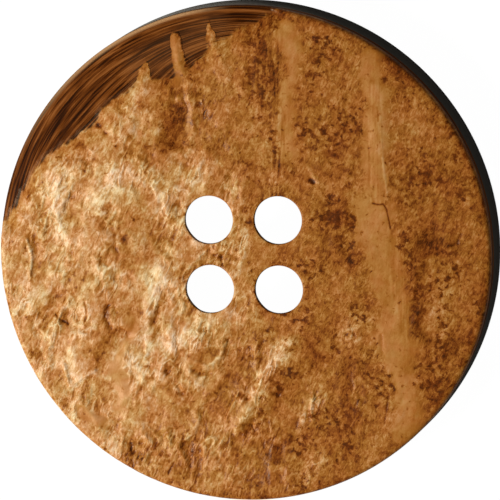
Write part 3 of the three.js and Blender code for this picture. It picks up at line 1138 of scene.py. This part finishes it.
def crust_hole_walls():
    """The walls of the crust's four holes, whose rounded mouths follow its surface."""
    mouth_round = ((0.05, 0.0), (0.02, 0.012), (0.0, 0.05))  # how far out, and how far down
    walls = []
    for centre in HOLE_CENTRES:
        widest = hole_ring(centre, HOLE_RADIUS + mouth_round[0][0], 0, CRUST_HOLE_SEGMENTS)
        mouth = crust_surface(widest[:, 0], widest[:, 1])
        rings = [(HOLE_RADIUS + out, mouth - down) for out, down in mouth_round]
        rings += [(hole_radius(h), h) for h in (FLARE_START - 0.02, 3.2, 3.05, CRUST_BOTTOM)]
        walls.append(np.array([hole_ring(centre, r, h, CRUST_HOLE_SEGMENTS) for r, h in rings]))
    return walls


def crust_points(loop):
    """Inner points of the crust's top, off its outer loop, and finer near narrow marks."""
    margin = 0.6 * CRUST_PITCH
    loop_radii = np.hypot(*loop[:rim_count].T)
    narrow_paths = [path for path, half_width, _, _ in MARKS if half_width <= NARROW]

    def on_crust(x, y):
        kept = (np.hypot(x, y) < RADIUS - SHOULDER_ROUND * 0.4) & clear_of_holes(x, y, 0.09)
        where = np.flatnonzero(kept)
        x, y = x[where], y[where]
        angle = np.mod(np.arctan2(y, x) - left_angle, 2 * np.pi)
        loop_radius = np.interp(angle, rim_angles - left_angle, loop_radii)
        off_rim = np.hypot(x, y) < loop_radius - margin
        off_edge = inside(x, y, loop) & (path_distance(x, y, edge_path) > margin)
        kept[where] = off_rim & off_edge
        return kept

    def near_mark(x, y):
        nearest = np.full(np.shape(x), np.inf)
        for path in narrow_paths:
            nearest = np.minimum(nearest, path_distance(x, y, path))
        return nearest < FINE_REACH

    coarse = lattice(CRUST_PITCH, lambda x, y: on_crust(x, y) & ~near_mark(x, y))
    fine = lattice(FINE_PITCH, lambda x, y: on_crust(x, y) & near_mark(x, y))
    x, y = np.concatenate([coarse, fine]).T
    return np.c_[x, y, crust_surface(x, y)]


def crust_underside():
    """Inner points of the crust's underside, just above the brown layer."""
    x, y = round_lattice(0.35, RADIUS - RIM_MARGIN, 0.35).T
    within = reach(x, y)
    covered = within > 0.2
    x, y, within = x[covered], y[covered], within[covered]
    return np.c_[x, y, fibre_top(x, y, within) + 0.01]


def build_crust():
    wall = crust_wall()
    piece = closed_mesh(
        "crust_relief",
        [wall, *crust_hole_walls()],
        crust_points(wall[0, :, :2]),
        crust_underside(),
        crust_material(),
        lambda x, y: relief(x, y)[1],
    )
    finish_piece(piece, "crust_face")


# ---- Floor, light and camera, in degrees, and in metres where no millimetres are named ----
FLOOR_SIZE = 4.0
FLOOR_DROP = 0.00002  # how far the floor lies under the button

LIGHT_DISTANCE = 0.30
LIGHT_WIDTH = 0.10
LIGHT_AZIMUTH = 200
LIGHT_ELEVATION = 47
LIGHT_POWER = 1.15  # watts

CAMERA_AZIMUTH = 38
CAMERA_TILT = 12.5  # from straight above
CAMERA_ROLL = 0.9
CAMERA_DISTANCE = 0.6
AIM_HEIGHT = 1.75  # millimetres above the back
VIEW_WIDTH = 25.471  # millimetres that the picture spans at the height of the crust's shoulder
SENSOR_WIDTH = 36  # millimetres


def floor_material():
    """Nearly white to the camera, and a soft grey to the light that lands on it."""
    material = bpy.data.materials.new("pale_floor")
    material.use_nodes = True
    tree = material.node_tree
    tree.nodes.clear()
    seen = add(tree, "Emission", {"Color": colour(1, 1, 1), "Strength": 0.99}).outputs[0]
    faint = add(tree, "BsdfDiffuse", {"Color": colour(0.05, 0.05, 0.05)}).outputs[0]
    bright = add(tree, "AddShader", {0: seen, 1: faint}).outputs[0]
    grey = add(tree, "BsdfDiffuse", {"Color": colour(0.5, 0.49, 0.47)}).outputs[0]
    camera_ray = add(tree, "LightPath").outputs["Is Camera Ray"]
    chosen = add(tree, "MixShader", {0: camera_ray, 1: grey, 2: bright}).outputs[0]
    add(tree, "OutputMaterial", {"Surface": chosen})
    return material


def build_floor():
    side = FLOOR_SIZE / 2
    mesh = bpy.data.meshes.new("floor")
    corners = [(-side, -side, 0), (side, -side, 0), (side, side, 0), (-side, side, 0)]
    mesh.from_pydata(corners, [], [(0, 1, 2, 3)])
    floor = bpy.data.objects.new("floor", mesh)
    floor.location.z = cad_bounds[0].z - FLOOR_DROP
    bpy.context.scene.collection.objects.link(floor)
    mesh.materials.append(floor_material())


def spherical(azimuth, elevation):
    """The direction at two angles in degrees."""
    a, e = math.radians(azimuth), math.radians(elevation)
    return Vector((math.cos(a) * math.cos(e), math.sin(a) * math.cos(e), math.sin(e)))


def build_light():
    """A softbox from the lower left of the picture, and a faint even light."""
    softbox = bpy.data.lights.new("key", "AREA")
    softbox.shape = "SQUARE"
    softbox.size = LIGHT_WIDTH
    softbox.energy = LIGHT_POWER
    softbox.color = (1.0, 0.93, 0.82)
    lamp = bpy.data.objects.new("key", softbox)
    direction = spherical(LIGHT_AZIMUTH, LIGHT_ELEVATION)
    lamp.location = direction * LIGHT_DISTANCE
    lamp.rotation_euler = direction.to_track_quat("Z", "Y").to_euler()
    bpy.context.scene.collection.objects.link(lamp)

    world = bpy.data.worlds.new("studio")
    world.use_nodes = True
    background = world.node_tree.nodes["Background"]
    background.inputs["Color"].default_value = colour(1.0, 0.95, 0.88)
    background.inputs["Strength"].default_value = 0.12
    bpy.context.scene.world = world


def build_camera():
    direction = spherical(CAMERA_AZIMUTH, 90 - CAMERA_TILT)
    level_up = (Vector((0, 1, 0)) - direction * direction.y).normalized()
    level_right = level_up.cross(direction)
    roll = math.radians(CAMERA_ROLL)
    right = level_right * math.cos(roll) - level_up * math.sin(roll)
    up = level_right * math.sin(roll) + level_up * math.cos(roll)
    data = bpy.data.cameras.new("camera")
    data.sensor_width = SENSOR_WIDTH
    shoulder_distance = CAMERA_DISTANCE - (EDGE_HEIGHT - AIM_HEIGHT) * MM * direction.z
    data.lens = SENSOR_WIDTH * shoulder_distance / (VIEW_WIDTH * MM)
    data.clip_start, data.clip_end = 0.01, 10
    camera = bpy.data.objects.new("camera", data)
    facing = Matrix((right, up, direction)).transposed().to_4x4()
    place = Vector((0, 0, AIM_HEIGHT * MM)) + direction * CAMERA_DISTANCE
    camera.matrix_world = Matrix.Translation(place) @ facing
    bpy.context.scene.collection.objects.link(camera)
    bpy.context.scene.camera = camera


# ---- The scene ----
build_base()
build_fibre()
build_crust()
build_floor()
build_light()
build_camera()
bpy.context.scene.view_settings.view_transform = "Standard"
